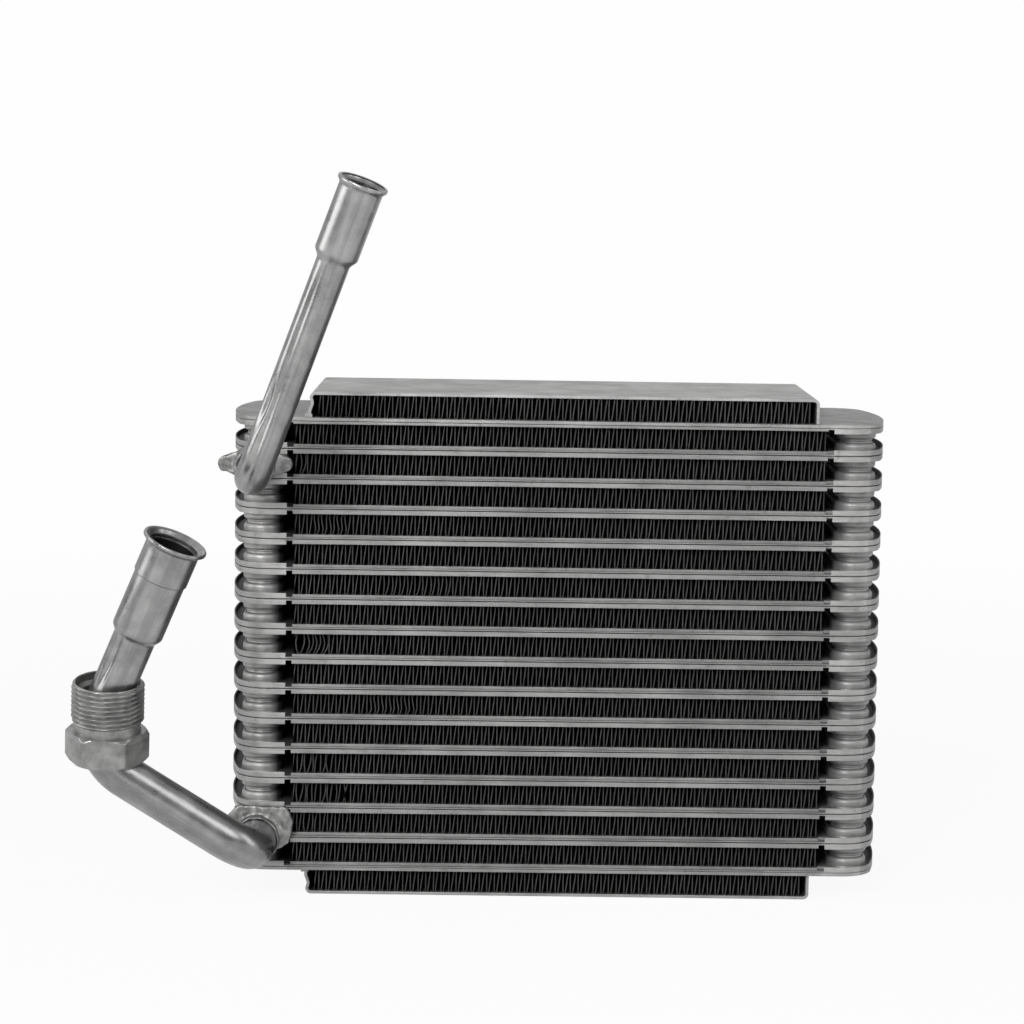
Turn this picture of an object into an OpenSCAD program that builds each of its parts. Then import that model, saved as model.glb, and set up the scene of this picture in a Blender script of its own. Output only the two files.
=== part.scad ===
// Evaporator core of drawn-cup plates: sixteen flat tubes of two stamped plates each, seventeen
// rows of folded fin between them, two channel-shaped side plates, and two bent pipes brazed to
// the left tank through saddles. A captive union nut turns freely on the lower pipe.
// X runs along the tubes, -Y is the front where the pipes leave, Z is up.
// The origin is on the underside of the bottom side plate, midway between the two tanks.

/* [Core] */
// Depth of the core from front to back
core_depth = 88; // [70:1:110]
// Length of a tube plate from tank end to tank end
plate_len = 255.2; // [230:0.2:300]
// Distance between neighbouring tubes
tube_pitch = 11.6; // [11:0.1:13]
// Thickness of the plate sheet
sheet_t = 0.6; // [0.5:0.05:0.7]
// Height of a tube's raised face above its joint
face_h = 1.5; // [1.2:0.1:1.8]
// Flat margin between a plate's edge and its raised face
margin_w = 2.4; // [1.8:0.1:5]
// Thickness of the flat plates that close the stack
end_t = 1.2; // [0.8:0.1:2]
// Radius of the corners of a plate
corner_r = 13; // [12:0.5:16]
// Radius of the outward bow of a plate's ends
end_bow_r = 150; // [130:5:400]

/* [Edges] */
// Drop of the lip along a plate's front edge
lip_h = 1.9; // [1.6:0.1:2.4]
// Height of the rim around a tank end
rim_h = 2.25; // [2:0.05:3]
// Length of the rim from the tank end towards the fins
rim_len = 23; // [21:0.1:26]
// Gap between rim and lip, where the edge is plain
notch_w = 2.3; // [2:0.1:5]
// Height of the seam groove in each plate's edge
groove_h = 0.2; // [0.1:0.05:0.3]
// Depth of the seam groove
groove_d = 1; // [0.5:0.1:1.5]

/* [Cups] */
// Radius of a cup's barrel at its rounded ends
barrel_r = 7.8; // [7.2:0.1:8.2]
// Radius of a cup's neck at its rounded ends, where the barrel's shoulder ends
neck_r = 6.4; // [5.6:0.1:6.8]
// Height of a cup's neck above its barrel
neck_h = 0.7; // [0.5:0.1:1]
// Radius of the flare at the foot of a barrel
flare_r = 1.2; // [0.6:0.1:1.3]
// Distance from a tank's end to the barrel
barrel_end = 5.7; // [4.4:0.1:7]
// Distance from a plate's front edge to the barrel
barrel_front = 4.2; // [4:0.1:7]

/* [Fins] */
// Distance between neighbouring legs of a fin
leg_pitch = 1.48; // [1.4:0.02:2.4]
// Thickness of the fin sheet
fin_t = 0.2; // [0.15:0.01:0.25]
// How far a leg leans to each side between crest and crest
leg_lean = 0.16; // [0:0.02:0.2]
// Free length between a fin's last leg and the end of the lips
fin_end = 0.1; // [0:0.1:3]
// Set-back of a fin behind the edge of the raised face
fin_inset = 0.4; // [0:0.1:1.5]

/* [Side plates] */
// Thickness of the side plate sheet
side_t = 1.1; // [0.8:0.1:1.5]
// Length of a side plate over its legs
side_len = 195.3; // [160:0.1:200]
// Distance of a side plate's middle to the right of the core's
side_shift = 1.3; // [-3:0.1:3]
// Depth of a side plate
side_depth = 84; // [66:1:88]
// Outer radius of the bend into a leg
side_bend_r = 2.2; // [1.6:0.1:3]
// Length of the foot on the left leg
foot_len = 1.8; // [1.2:0.1:3]
// Sideways bow of the left leg
leg_bow = 0.5; // [0:0.1:0.8]

/* [Upper pipe] */
// Outside diameter of the upper pipe
up_d = 12.7; // [10:0.1:14]
// Distance from the tank's left end to the middle of the upper pipe
up_inset = 11; // [10:0.1:13]
// Distance from the tank front to the corner of the bend
up_reach = 34.5; // [28:0.5:45]
// Centre radius of the bend
up_bend_r = 15.5; // [12:0.5:18]
// Lean of the pipe to the right
up_lean = 20.2; // [5:0.1:30]
// Length of the pipe above the corner of the bend
up_len = 123.4; // [100:0.2:150]
// Length of the widened end
up_end_len = 28; // [20:0.5:40]
// Outside diameter of the widened end
up_end_d = 16.6; // [15.2:0.1:18]
// Outside diameter of the lip
up_lip_d = 19; // [18.6:0.1:21]

/* [Lower pipe] */
// Outside diameter of the lower pipe
low_d = 15.9; // [14:0.1:16.2]
// Distance from the tank's left end to the middle of the lower pipe
low_inset = 12.6; // [11:0.1:14]
// Distance of the lower pipe's root below the middle of its gap
low_drop = 5.5; // [4.5:0.1:6]
// Distance from the tank front to the corner of the first bend
low_reach = 31; // [29:0.5:45]
// Centre radius of the first bend
low_bend_r = 14; // [11:0.5:16]
// Rise of the run between the bends above the level
low_rise = 33.3; // [25:0.1:36]
// Length of the run between the corners of the bends
low_run = 73; // [66:0.5:90]
// Centre radius of the bend inside the nut
low_bend2_r = 21; // [19:0.5:24]
// Lean of the stub to the right
low_lean = 22.8; // [20:0.1:24]
// Length of the stub above the corner of its bend
low_len = 89.5; // [85:0.5:110]
// Length of the widened end
low_end_len = 37; // [34:0.5:39]
// Outside diameter of the widened end
low_end_d = 19.4; // [18:0.1:20]
// Length of the wider mouth below the lip
mouth_len = 14.8; // [10:0.1:18]
// Outside diameter of the mouth
mouth_d = 20.4; // [20:0.1:21.5]
// Outside diameter of the lip
low_lip_d = 24.4; // [23.4:0.1:25]

/* [Pipes] */
// Wall of the pipes
wall = 1.25; // [0.9:0.05:1.5]
// How far the pipes tip forward
pipe_tilt = 10; // [6:0.5:12]

/* [Saddles] */
// Thickness of a saddle's front plate
saddle_t = 3.5; // [2:0.1:4]
// Length of the boss around the pipe's end
boss_len = 7.5; // [6:0.1:9]
// Wall of the upper saddle's boss
up_boss_wall = 1.4; // [1:0.1:2]
// Wall of the lower saddle's boss
low_boss_wall = 0.9; // [0.8:0.1:1.5]
// Width of the upper saddle over its ears
up_saddle_w = 28.6; // [24:0.1:32]
// Radius of an ear's tip on the upper saddle
ear_r = 3; // [2:0.1:4]
// Reach of the lower saddle to the left of its pipe
low_saddle_left = 12; // [11:0.1:13]
// Reach of the lower saddle to the right of its pipe
low_saddle_right = 14.2; // [12:0.1:15]
// Reach of the lower saddle above the middle of its pipe
low_saddle_top = 12.7; // [11:0.1:13]
// Reach of the lower saddle below the middle of its pipe
low_saddle_bottom = 5.1; // [4:0.1:7]
// Gap left for the braze between a saddle and its neighbours
braze_gap = 0.1; // [0.05:0.01:0.15]

/* [Union nut] */
// Diameter over the thread
thread_d = 27; // [26.8:0.1:28]
// Length of the threaded end
thread_len = 15.8; // [14:0.1:18]
// Diameter of the plain neck below the thread
relief_d = 24.8; // [24.6:0.1:26]
// Length of the plain neck
relief_len = 2.8; // [2:0.1:4]
// Width of the hexagon across its flats
hex_w = 27.4; // [27.2:0.1:32]
// Height of the hexagon
hex_h = 11.4; // [9:0.1:14]
// Diameter of the counterbore at the threaded end
mouth_bore_d = 23.9; // [23.6:0.1:24]
// Depth of the counterbore
mouth_bore_h = 3; // [2.5:0.1:4]
// Diameter of the land that the widened pipe end pulls against
land_d = 20.9; // [20.7:0.1:21.2]
// Length of the land
land_len = 6.3; // [4:0.1:7]
// Diameter of the relief bore around the bend
back_bore_d = 23; // [22.8:0.1:23.4]
// Distance of the nut's lower end to the right of the bend's corner
nut_shift = 7.9; // [7.7:0.1:8.1]
// Distance of the nut's lower end below the bend's corner
nut_drop = 2.1; // [1.8:0.1:2.4]
// Lean of the nut to the right
nut_lean = 2; // [1.5:0.1:2.5]

/* [Hidden] */
$fn = 64;
tubes = 16;
// Tube whose gap below it takes the upper pipe, the lower pipe, and the tube above the baffle
up_tube = 2;
low_tube = 14;
baffle_tube = 8;

fin_h = tube_pitch - 2 * face_h;
half_len = plate_len / 2;
half_depth = core_depth / 2;
rim_x = half_len - rim_len;
lip_x = rim_x - notch_w;
bow_x = half_len - end_bow_r;
corner_y = half_depth - corner_r;
// The corner arcs stand a hair proud of the end arcs, which they cross
corner_x = bow_x + sqrt(pow(end_bow_r - corner_r, 2) - pow(corner_y, 2)) + 0.02;
shoulder_r = barrel_r - neck_r;
cup_x = half_len - barrel_end - barrel_r;
cup_half = half_depth - barrel_front - barrel_r;
face_depth = core_depth - 2 * margin_w;
channel_depth = 2 * (cup_half + barrel_r) - sheet_t;
fin_depth = face_depth - 2 * fin_inset;
leg_play = 0.6;
over = 1;
arc_steps = 4;
flare_steps = 3;
port_r = 2.4;
port_half = 3.6;
pipe_stop = 2;
lip_len = 3.4;
// A straight length is a hair wider than the bend below it
clamp_mark = 0.03;
bore_cone = 1.3;
bore_edge = 0.8;
nut_len = hex_h + relief_len + thread_len;

// Height of a tube's joint. The top tube is closer, because its lower plate has no raised face.
low_joint = side_t + fin_h + end_t;
function joint_z(k) = k > 1 ? low_joint + (tubes - k) * tube_pitch : joint_z(2) + face_h + fin_h + sheet_t;
function upper_face(k) = k == 1 ? end_t : face_h;
function lower_face(k) = k == 1 ? sheet_t : k == tubes ? end_t : face_h;
function gap_z(k) = (joint_z(k) + joint_z(k + 1)) / 2;
function cup_h(k) = (joint_z(k) - joint_z(k + 1)) / 2;
top_z = joint_z(1) + end_t + fin_h + side_t;

function two_digits(n) = n < 10 ? str("0", n) : str(n);
function names(stem, n) = [for (i = [1:n]) str(stem, "_", two_digits(i))];

// Flat shapes

// A plate's outline, drawn in on all sides: bowed ends between rounded corners
module plate_outline(inset) {
    square([2 * corner_x, core_depth - 2 * inset], center = true);
    for (x = [-1, 1], y = [-1, 1])
        translate([x * corner_x, y * corner_y])
            circle(corner_r - inset);
    intersection() {
        translate([bow_x, 0])
            circle(end_bow_r - inset, $fn = 4 * $fn);
        translate([-bow_x, 0])
            circle(end_bow_r - inset, $fn = 4 * $fn);
        square([plate_len, 2 * corner_y * (end_bow_r - inset) / (end_bow_r - corner_r)], center = true);
    }
}

// Drawn cups

// Half profile of a cup's outside, as radius and depth below the joint, or of the room around it
function cup_outside(h, grow) = let (b = h - neck_h) concat(
    grow > 0 ? [[0, 0], [barrel_r + grow, 0]] : concat(
        [[0, 0], [barrel_r + flare_r, 0]],
        [for (i = [0:flare_steps]) let (a = 90 * i / flare_steps)
            [barrel_r + flare_r * (1 - sin(a)), -sheet_t - flare_r * (1 - cos(a))]]),
    [for (i = [0:arc_steps - (grow > 0 ? 1 : 0)]) let (a = 90 * i / arc_steps)
        [neck_r + (shoulder_r + grow) * cos(a), -(b - shoulder_r) - (shoulder_r + grow) * sin(a)]],
    grow > 0 ? [[neck_r + grow, -b - grow], [neck_r + grow, -h - grow], [0, -h - grow]]
             : [[neck_r, -h + groove_h], [neck_r - groove_h, -h], [0, -h]]
);

// Half profile of a cup's inside, open at its neck unless it is blank
function cup_inside(h, blank) = let (b = h - neck_h, s = shoulder_r - sheet_t, n = neck_r - sheet_t) concat(
    [[0, 0], [barrel_r - sheet_t, 0]],
    [for (i = [0:arc_steps]) let (a = 90 * i / arc_steps)
        [neck_r + s * cos(a), -(b - shoulder_r) - s * sin(a)]],
    blank ? [[n, -b + sheet_t], [n, -h + sheet_t], [0, -h + sheet_t]]
          : [[n, -b + sheet_t], [n, -h - over], [0, -h - over]]
);

// Carries a half profile round the long oval plan of a cup
module oval_sweep(profile) {
    for (y = [-1, 1])
        translate([0, y * cup_half, 0])
            rotate_extrude()
                polygon(profile);
    rotate([90, 0, 0])
        linear_extrude(2 * cup_half, center = true) {
            polygon(profile);
            mirror([1, 0])
                polygon(profile);
        }
}

// Tube plates

// The raised face, drawn in on all sides, with a channel into the cups at both ends
module raised_face(face, inset) {
    translate([0, 0, -face / 2]) {
        cube([2 * (lip_x - inset), face_depth - 2 * inset, face], center = true);
        cube([2 * cup_x, channel_depth - 2 * inset, face], center = true);
    }
}

// A stamped plate that hangs below its joint at height zero, with its lip on the front edge
module stamped_plate(face, h, lip, blank_left) {
    difference() {
        union() {
            translate([0, 0, -sheet_t])
                linear_extrude(sheet_t)
                    plate_outline(0);
            raised_face(face, 0);
            translate([0, 0, -rim_h])
                linear_extrude(rim_h)
                    difference() {
                        plate_outline(0);
                        plate_outline(sheet_t);
                        square([2 * rim_x, core_depth + over], center = true);
                    }
            translate([-lip_x, -half_depth, -lip])
                cube([2 * lip_x, sheet_t, lip]);
            for (x = [-1, 1])
                translate([x * cup_x, 0, 0])
                    oval_sweep(cup_outside(h, 0));
        }
        if (face > sheet_t)
            raised_face(face - sheet_t, sheet_t);
        translate([-cup_x, 0, 0])
            oval_sweep(cup_inside(h, blank_left));
        translate([cup_x, 0, 0])
            oval_sweep(cup_inside(h, false));
        translate([0, 0, -groove_h])
            linear_extrude(groove_h + over)
                difference() {
                    plate_outline(-over);
                    plate_outline(groove_d);
                }
    }
}

module end_sheet() {
    linear_extrude(end_t)
        plate_outline(0);
}

// Oval hole from the end of a pipe into the cups behind it
module port(k) {
    translate([-cup_x, -half_depth - pipe_stop - over, gap_z(k)])
        rotate([-90, 0, 0])
            linear_extrude(pipe_stop + over + barrel_front + 2 * barrel_r) {
                square([2 * port_half, 2 * port_r], center = true);
                for (x = [-1, 1])
                    translate([x * port_half, 0])
                        circle(port_r);
            }
}

module lower_plate(k) {
    color("silver")
        difference() {
            translate([0, 0, joint_z(k)])
                if (k == tubes)
                    mirror([0, 0, 1])
                        end_sheet();
                else
                    stamped_plate(lower_face(k), cup_h(k), k == 1 ? 2 * sheet_t : lip_h, k == baffle_tube);
            if (k == up_tube || k == low_tube)
                port(k);
        }
}

module upper_plate(k) {
    color("gainsboro")
        difference() {
            translate([0, 0, joint_z(k)])
                if (k == 1)
                    end_sheet();
                else
                    rotate([180, 0, 0])
                        stamped_plate(upper_face(k), cup_h(k - 1), lip_h, false);
            if (k - 1 == up_tube || k - 1 == low_tube)
                port(k - 1);
        }
}

// Fins

// Outline of a folded sheet standing on height zero, with legs 0 to n that lean in turn
function fold_points(n, h) = let (t = fin_t / 2, s = leg_lean / 2) concat(
    [for (i = [0:n]) let (x = (i - n / 2) * leg_pitch, d = i % 2 == 0 ? 1 : -1)
        let (foot = [x - d * (t + s), i == 0 || i == n ? 0 : fin_t], crest = [x - d * (t - s), h])
        each d == 1 ? [foot, crest] : [crest, foot]],
    [for (i = [n:-1:0]) let (x = (i - n / 2) * leg_pitch, d = i % 2 == 0 ? 1 : -1)
        let (foot = [x + d * (t - s), 0], crest = [x + d * (t + s), h - fin_t])
        each d == 1 ? [crest, foot] : [foot, crest]]
);

module fin(row) {
    z0 = row > tubes ? side_t : joint_z(row) + upper_face(row);
    z1 = row == 1 ? top_z - side_t : joint_z(row - 1) - lower_face(row - 1);
    outer = row == 1 || row > tubes;
    len = outer ? side_len - 2 * side_t - 2 * leg_bow - 2 * leg_play : 2 * (lip_x - fin_end);
    legs = 2 * floor(len / leg_pitch / 2) - 1;
    color("dimgray")
        translate([outer ? side_shift : 0, 0, z0])
            rotate([90, 0, 0])
                linear_extrude(fin_depth, center = true)
                    polygon(fold_points(legs, z1 - z0));
}

// Side plates

// A straight leg on the right and a bowed leg with a foot on the left, below a flat sheet
module side_section() {
    h = fin_h + side_t;
    steps = 8;
    difference() {
        union() {
            translate([0, h - side_bend_r])
                square([side_len / 2 - side_bend_r, side_bend_r]);
            translate([side_len / 2 - side_bend_r, h - side_bend_r])
                circle(side_bend_r);
            translate([side_len / 2 - side_bend_r, 0])
                square([side_bend_r, h - side_bend_r]);
        }
        translate([0, -over])
            square([side_len / 2 - side_bend_r, h - side_t + over]);
        translate([side_len / 2 - side_bend_r, h - side_bend_r])
            circle(side_bend_r - side_t);
        translate([side_len / 2 - side_bend_r - over, -over])
            square([side_bend_r - side_t + over, h - side_bend_r + over]);
    }
    difference() {
        translate([side_bend_r - side_len / 2, h - side_bend_r])
            circle(side_bend_r);
        translate([side_bend_r - side_len / 2, h - side_bend_r])
            circle(side_bend_r - side_t);
        translate([side_bend_r - side_len / 2, 0])
            square([side_bend_r, h]);
        translate([-side_len / 2, 0])
            square([2 * side_bend_r, h - side_bend_r]);
    }
    translate([side_bend_r - side_len / 2, h - side_t])
        square([side_len / 2 - side_bend_r, side_t]);
    drop = h - side_bend_r;
    bow = [for (i = [0:steps]) [leg_bow * sin(360 * i / steps) - side_len / 2, drop * (1 - i / steps)]];
    polygon(concat(bow, [for (i = [steps:-1:0]) bow[i] + [side_t, 0]]));
    translate([-side_len / 2 - foot_len, 0])
        square([foot_len + side_t, side_t]);
}

module side_plate() {
    rotate([90, 0, 0])
        linear_extrude(side_depth, center = true)
            side_section();
}

module top_side_plate() {
    color("lightgray")
        translate([side_shift, 0, top_z - side_t - fin_h])
            side_plate();
}

module bottom_side_plate() {
    color("lightgray")
        translate([side_shift, 0, side_t + fin_h])
            mirror([0, 0, 1])
                side_plate();
}

// Pipes

// The frame of a pipe's root: its origin is on the tank's front, its -Y axis runs into the pipe
module at_root(k, inset, drop) {
    translate([inset - half_len, -half_depth, gap_z(k) - drop])
        children();
}

module at_upper_root() {
    at_root(up_tube, up_inset, 0)
        tipped()
            children();
}

module at_lower_root() {
    at_root(low_tube, low_inset, low_drop)
        children();
}

module tipped() {
    rotate([pipe_tilt, 0, 0])
        children();
}

// A bend that starts at the origin along +Z and turns towards +X
module bend(r, radius, angle) {
    translate([radius, 0, 0])
        rotate([90, 0, 180])
            rotate_extrude(angle = angle)
                translate([radius, 0])
                    circle(r);
}

// The straight length out of the saddle and the first bend, which turns up round a corner at the reach
module pipe_root(r, start, reach, radius, angle) {
    tangent = radius * tan(angle / 2);
    rotate([90, -90, 0]) {
        round_rod(r, start, reach - tangent);
        translate([0, 0, reach - tangent])
            bend(r, radius, angle);
    }
}

module round_rod(r, z0, z1) {
    translate([0, 0, z0])
        cylinder(r = r, h = z1 - z0);
}

// Outside of a widened end between its shoulder and its lip
module widened_end(r, end_r, len, end_len, mouth_r, mouth, lip_r) {
    shoulder = end_r - r;
    step = mouth_r - end_r;
    rotate_extrude()
        polygon([
            [0, len - end_len - 2 * shoulder],
            [r, len - end_len - 2 * shoulder],
            [r + 0.2 * shoulder, len - end_len - 1.5 * shoulder],
            [r + 0.8 * shoulder, len - end_len - 0.5 * shoulder],
            [end_r, len - end_len],
            [end_r, len - mouth - step],
            [mouth_r, len - mouth],
            [mouth_r, len - lip_len],
            [lip_r - 0.7, len - 2.2],
            [lip_r, len - 1.5],
            [lip_r, len - 0.6],
            [lip_r - 0.6, len],
            [0, len]
        ]);
}

module upper_route(r, start, end) {
    rotate([0, up_lean, 0]) {
        pipe_root(r, start, up_reach, up_bend_r, 90);
        translate([0, -up_reach, 0])
            round_rod(r, up_bend_r, end);
    }
}

module at_upper_end() {
    rotate([0, up_lean, 0])
        translate([0, -up_reach, 0])
            children();
}

module upper_pipe() {
    shoulder_z = up_len - up_end_len - (up_end_d - up_d);
    color("lightgray")
        at_upper_root()
            difference() {
                union() {
                    upper_route(up_d / 2, pipe_stop, shoulder_z + over);
                    at_upper_end()
                        widened_end(up_d / 2, up_end_d / 2, up_len, up_end_len, up_end_d / 2, lip_len + over, up_lip_d / 2);
                }
                upper_route(up_d / 2 - wall, pipe_stop - over, up_len - up_end_len + over);
                at_upper_end() {
                    round_rod(up_end_d / 2 - wall, up_len - up_end_len, up_len + over);
                    translate([0, 0, up_len - wall])
                        cylinder(r1 = up_end_d / 2 - wall, r2 = up_end_d / 2, h = wall);
                }
            }
}

// The root runs level and the rest of the lower pipe is tipped, so its first bend is not a right angle
low_side = atan2(cos(low_rise), cos(pipe_tilt) * sin(low_rise));
low_bend = acos(sin(pipe_tilt) * sin(low_rise));
low_run_start = low_bend_r * tan(low_bend / 2);
low_turn = 90 - low_rise + low_lean;
low_tangent = low_bend2_r * tan(low_turn / 2);

module at_lower_run() {
    translate([0, -low_reach, 0])
        tipped()
            rotate([0, low_rise - 90, 0])
                children();
}

module at_lower_end() {
    at_lower_run()
        translate([0, 0, low_run])
            rotate([0, low_turn, 0])
                children();
}

module lower_route(r, start, end) {
    rotate([0, -low_side, 0])
        pipe_root(r, start, low_reach, low_bend_r, low_bend);
    at_lower_run() {
        round_rod(r + clamp_mark, low_run_start - clamp_mark, low_run - low_tangent + clamp_mark);
        translate([0, 0, low_run - low_tangent])
            bend(r, low_bend2_r, low_turn);
    }
    at_lower_end()
        round_rod(r + clamp_mark, low_tangent - clamp_mark, end);
}

module lower_pipe() {
    shoulder_z = low_len - low_end_len - (low_end_d - low_d);
    color("lightgray")
        at_lower_root()
            difference() {
                union() {
                    lower_route(low_d / 2, pipe_stop, shoulder_z + over);
                    at_lower_end()
                        widened_end(low_d / 2, low_end_d / 2, low_len, low_end_len, mouth_d / 2, mouth_len, low_lip_d / 2);
                }
                lower_route(low_d / 2 - wall, pipe_stop - over, low_len - low_end_len + over);
                at_lower_end() {
                    round_rod(low_end_d / 2 - wall, low_len - low_end_len, low_len + over);
                    round_rod(mouth_d / 2 - wall, low_len - mouth_len, low_len + over);
                    translate([0, 0, low_len - 2 * wall])
                        cylinder(r1 = mouth_d / 2 - wall, r2 = mouth_d / 2 + wall / 2, h = 2 * wall);
                }
            }
}

// Saddles

// Front plate of a given outline, tongue between the rims, and a boss for the pipe
module saddle(k, inset, drop, tilt, pipe_d, boss_r) {
    tongue_h = 2 * cup_h(k) - 2 * rim_h - 2 * braze_gap;
    color("darkgray")
        difference() {
            union() {
                at_root(k, inset, drop) {
                    difference() {
                        rotate([90 + tilt, 0, 0])
                            round_rod(boss_r, -over, boss_len);
                        translate([-2 * boss_r, -braze_gap, -2 * boss_r])
                            cube(4 * boss_r);
                    }
                    translate([0, -braze_gap, 0])
                        rotate([90, 0, 0])
                            linear_extrude(saddle_t)
                                children();
                }
                translate([0, 0, gap_z(k) - tongue_h / 2])
                    linear_extrude(tongue_h)
                        intersection() {
                            union() {
                                plate_outline(0);
                                translate([inset - half_len, -half_depth])
                                    square([2 * ear_r, 2 * ear_r], center = true);
                            }
                            translate([-half_len, -half_depth - ear_r])
                                square([rim_len, barrel_front + barrel_r + ear_r]);
                        }
            }
            translate([-cup_x, 0, joint_z(k)])
                oval_sweep(cup_outside(cup_h(k), braze_gap));
            translate([-cup_x, 0, joint_z(k + 1)])
                mirror([0, 0, 1])
                    oval_sweep(cup_outside(cup_h(k), braze_gap));
            at_root(k, inset, drop)
                rotate([90 + tilt, 0, 0])
                    round_rod(pipe_d / 2 + braze_gap, pipe_stop, boss_len + over);
            port(k);
        }
}

module upper_saddle() {
    boss_r = up_d / 2 + up_boss_wall;
    ear_x = up_saddle_w / 2 - ear_r;
    saddle(up_tube, up_inset, 0, pipe_tilt, up_d, boss_r) {
        polygon([[-ear_x, -ear_r], [0, -boss_r], [ear_x, -ear_r], [ear_x, ear_r], [0, boss_r], [-ear_x, ear_r]]);
        for (x = [-1, 1])
            translate([x * ear_x, 0])
                circle(ear_r);
    }
}

module lower_saddle() {
    l = low_saddle_left;
    r = low_saddle_right;
    t = low_saddle_top;
    b = low_saddle_bottom;
    saddle(low_tube, low_inset, low_drop, 0, low_d, low_d / 2 + low_boss_wall)
        polygon([
            [-l, 0.2 * t],
            [-l, 0.6 * t],
            [-0.6 * l, t],
            [0.8 * r, 0.95 * t],
            [r, 0.5 * t],
            [0.87 * r, -0.4 * b],
            [0.52 * r, -b],
            [-0.4 * l, -0.9 * b]
        ]);
}

// Union nut

module union_nut() {
    land_end = nut_len - mouth_bore_h - bore_cone;
    bore = [
        [0, -over],
        [back_bore_d / 2 + bore_edge, -over],
        [back_bore_d / 2 + bore_edge, 0],
        [back_bore_d / 2, bore_edge],
        [back_bore_d / 2, land_end - land_len - bore_cone],
        [land_d / 2, land_end - land_len],
        [land_d / 2, land_end],
        [mouth_bore_d / 2, land_end + bore_cone],
        [mouth_bore_d / 2, nut_len + over],
        [0, nut_len + over]
    ];
    corner_cut = hex_w / 2 / cos(30) - hex_w / 2;
    color("gray")
        at_nut()
            difference() {
                union() {
                    intersection() {
                        cylinder(d = hex_w / cos(30), h = hex_h, $fn = 6);
                        rotate_extrude()
                            polygon([
                                [0, 0],
                                [hex_w / 2 - 0.3, 0],
                                [hex_w / 2 + corner_cut + 0.3, corner_cut],
                                [hex_w / 2 + corner_cut + 0.3, hex_h - corner_cut],
                                [hex_w / 2 - 0.3, hex_h],
                                [0, hex_h]
                            ]);
                    }
                    round_rod(relief_d / 2, hex_h - over, hex_h + relief_len + over);
                    round_rod(thread_d / 2, hex_h + relief_len, nut_len - over);
                    translate([0, 0, nut_len - over])
                        cylinder(r1 = thread_d / 2, r2 = thread_d / 2 - over, h = over);
                }
                rotate_extrude()
                    polygon(bore);
            }
}

module at_nut() {
    at_lower_root()
        translate([0, -low_reach, 0])
            tipped()
                translate([-low_run * cos(low_rise) + nut_shift, 0, low_run * sin(low_rise) - nut_drop])
                    rotate([0, nut_lean, 0])
                        children();
}

for (k = [1:tubes]) {
    upper_plate(k);
    lower_plate(k);
}
for (row = [1:tubes + 1])
    fin(row);
top_side_plate();
bottom_side_plate();
upper_saddle();
lower_saddle();
upper_pipe();
lower_pipe();
union_nut();
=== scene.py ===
"""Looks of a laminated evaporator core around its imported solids.

Lengths in the classes are millimetres in the part's own frame: X along the tubes, -Y the front
where the pipes leave, Z up, origin under the middle of the bottom side plate. Only the lamps and
the floor's shading are placed in metres.
"""

import logging
import math
from dataclasses import dataclass, field
from enum import Enum

import bpy
import numpy as np
from mathutils import Matrix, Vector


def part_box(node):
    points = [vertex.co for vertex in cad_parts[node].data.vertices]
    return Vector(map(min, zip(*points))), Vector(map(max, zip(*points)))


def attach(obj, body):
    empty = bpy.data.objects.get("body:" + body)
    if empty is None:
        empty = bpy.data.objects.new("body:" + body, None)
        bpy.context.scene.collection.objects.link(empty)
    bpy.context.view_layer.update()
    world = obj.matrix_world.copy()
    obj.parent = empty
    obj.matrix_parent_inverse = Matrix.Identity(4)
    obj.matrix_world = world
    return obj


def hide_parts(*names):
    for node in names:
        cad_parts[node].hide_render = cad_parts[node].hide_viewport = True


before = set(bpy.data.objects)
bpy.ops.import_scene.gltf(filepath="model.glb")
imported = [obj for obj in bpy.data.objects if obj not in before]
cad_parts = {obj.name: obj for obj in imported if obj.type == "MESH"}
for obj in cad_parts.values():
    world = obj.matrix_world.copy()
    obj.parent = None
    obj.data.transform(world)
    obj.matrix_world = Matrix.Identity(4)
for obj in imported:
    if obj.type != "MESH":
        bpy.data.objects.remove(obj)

LOG = logging.getLogger("evaporator")
MM = 0.001
TURN = 2 * math.pi
BACKGROUND = 0.99
UV_LAYER = "along"
UV_STEP = 0.01
SHADED_BORE_UV = 2.0

Point = tuple[float, float, float]
Span = tuple[float, float]
Socket = bpy.types.NodeSocket


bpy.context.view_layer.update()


# Meshes


def grid_faces(rows: int, cols: int, close_rows: bool, close_cols: bool) -> np.ndarray:
    """Lists the quads of a grid of points stored row by row.

    Args:
        rows: Number of rows of points.
        cols: Number of points in a row.
        close_rows: Whether the last row joins the first.
        close_cols: Whether the last point of a row joins its first.

    Returns:
        An array of four point numbers for each quad.
    """
    r = np.arange(rows if close_rows else rows - 1)
    c = np.arange(cols if close_cols else cols - 1)
    i, j = np.meshgrid(r, c, indexing="ij")
    i2, j2 = (i + 1) % rows, (j + 1) % cols
    quads = [i * cols + j, i2 * cols + j, i2 * cols + j2, i * cols + j2]
    return np.stack([q.ravel() for q in quads], axis=1)


def new_piece(
    name: str,
    points: np.ndarray,
    faces: object,
    material: bpy.types.Material,
) -> bpy.types.Object:
    """Makes an object with flat faces.

    Args:
        name: The piece's name.
        points: Points in millimetres.
        faces: Point numbers of each face.
        material: The finish.

    Returns:
        The linked object.
    """
    mesh = bpy.data.meshes.new(name)
    rows = faces.tolist() if isinstance(faces, np.ndarray) else faces
    mesh.from_pydata((np.asarray(points) * MM).tolist(), [], rows)
    mesh.materials.append(material)
    mesh.update()
    piece = bpy.data.objects.new(name, mesh)
    bpy.context.scene.collection.objects.link(piece)
    return piece


def smooth(mesh: bpy.types.Mesh, angle: float) -> None:
    """Shades a mesh smooth, apart from edges sharper than an angle in degrees."""
    mesh.shade_smooth()
    mesh.set_sharp_from_angle(angle=math.radians(angle))


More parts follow.
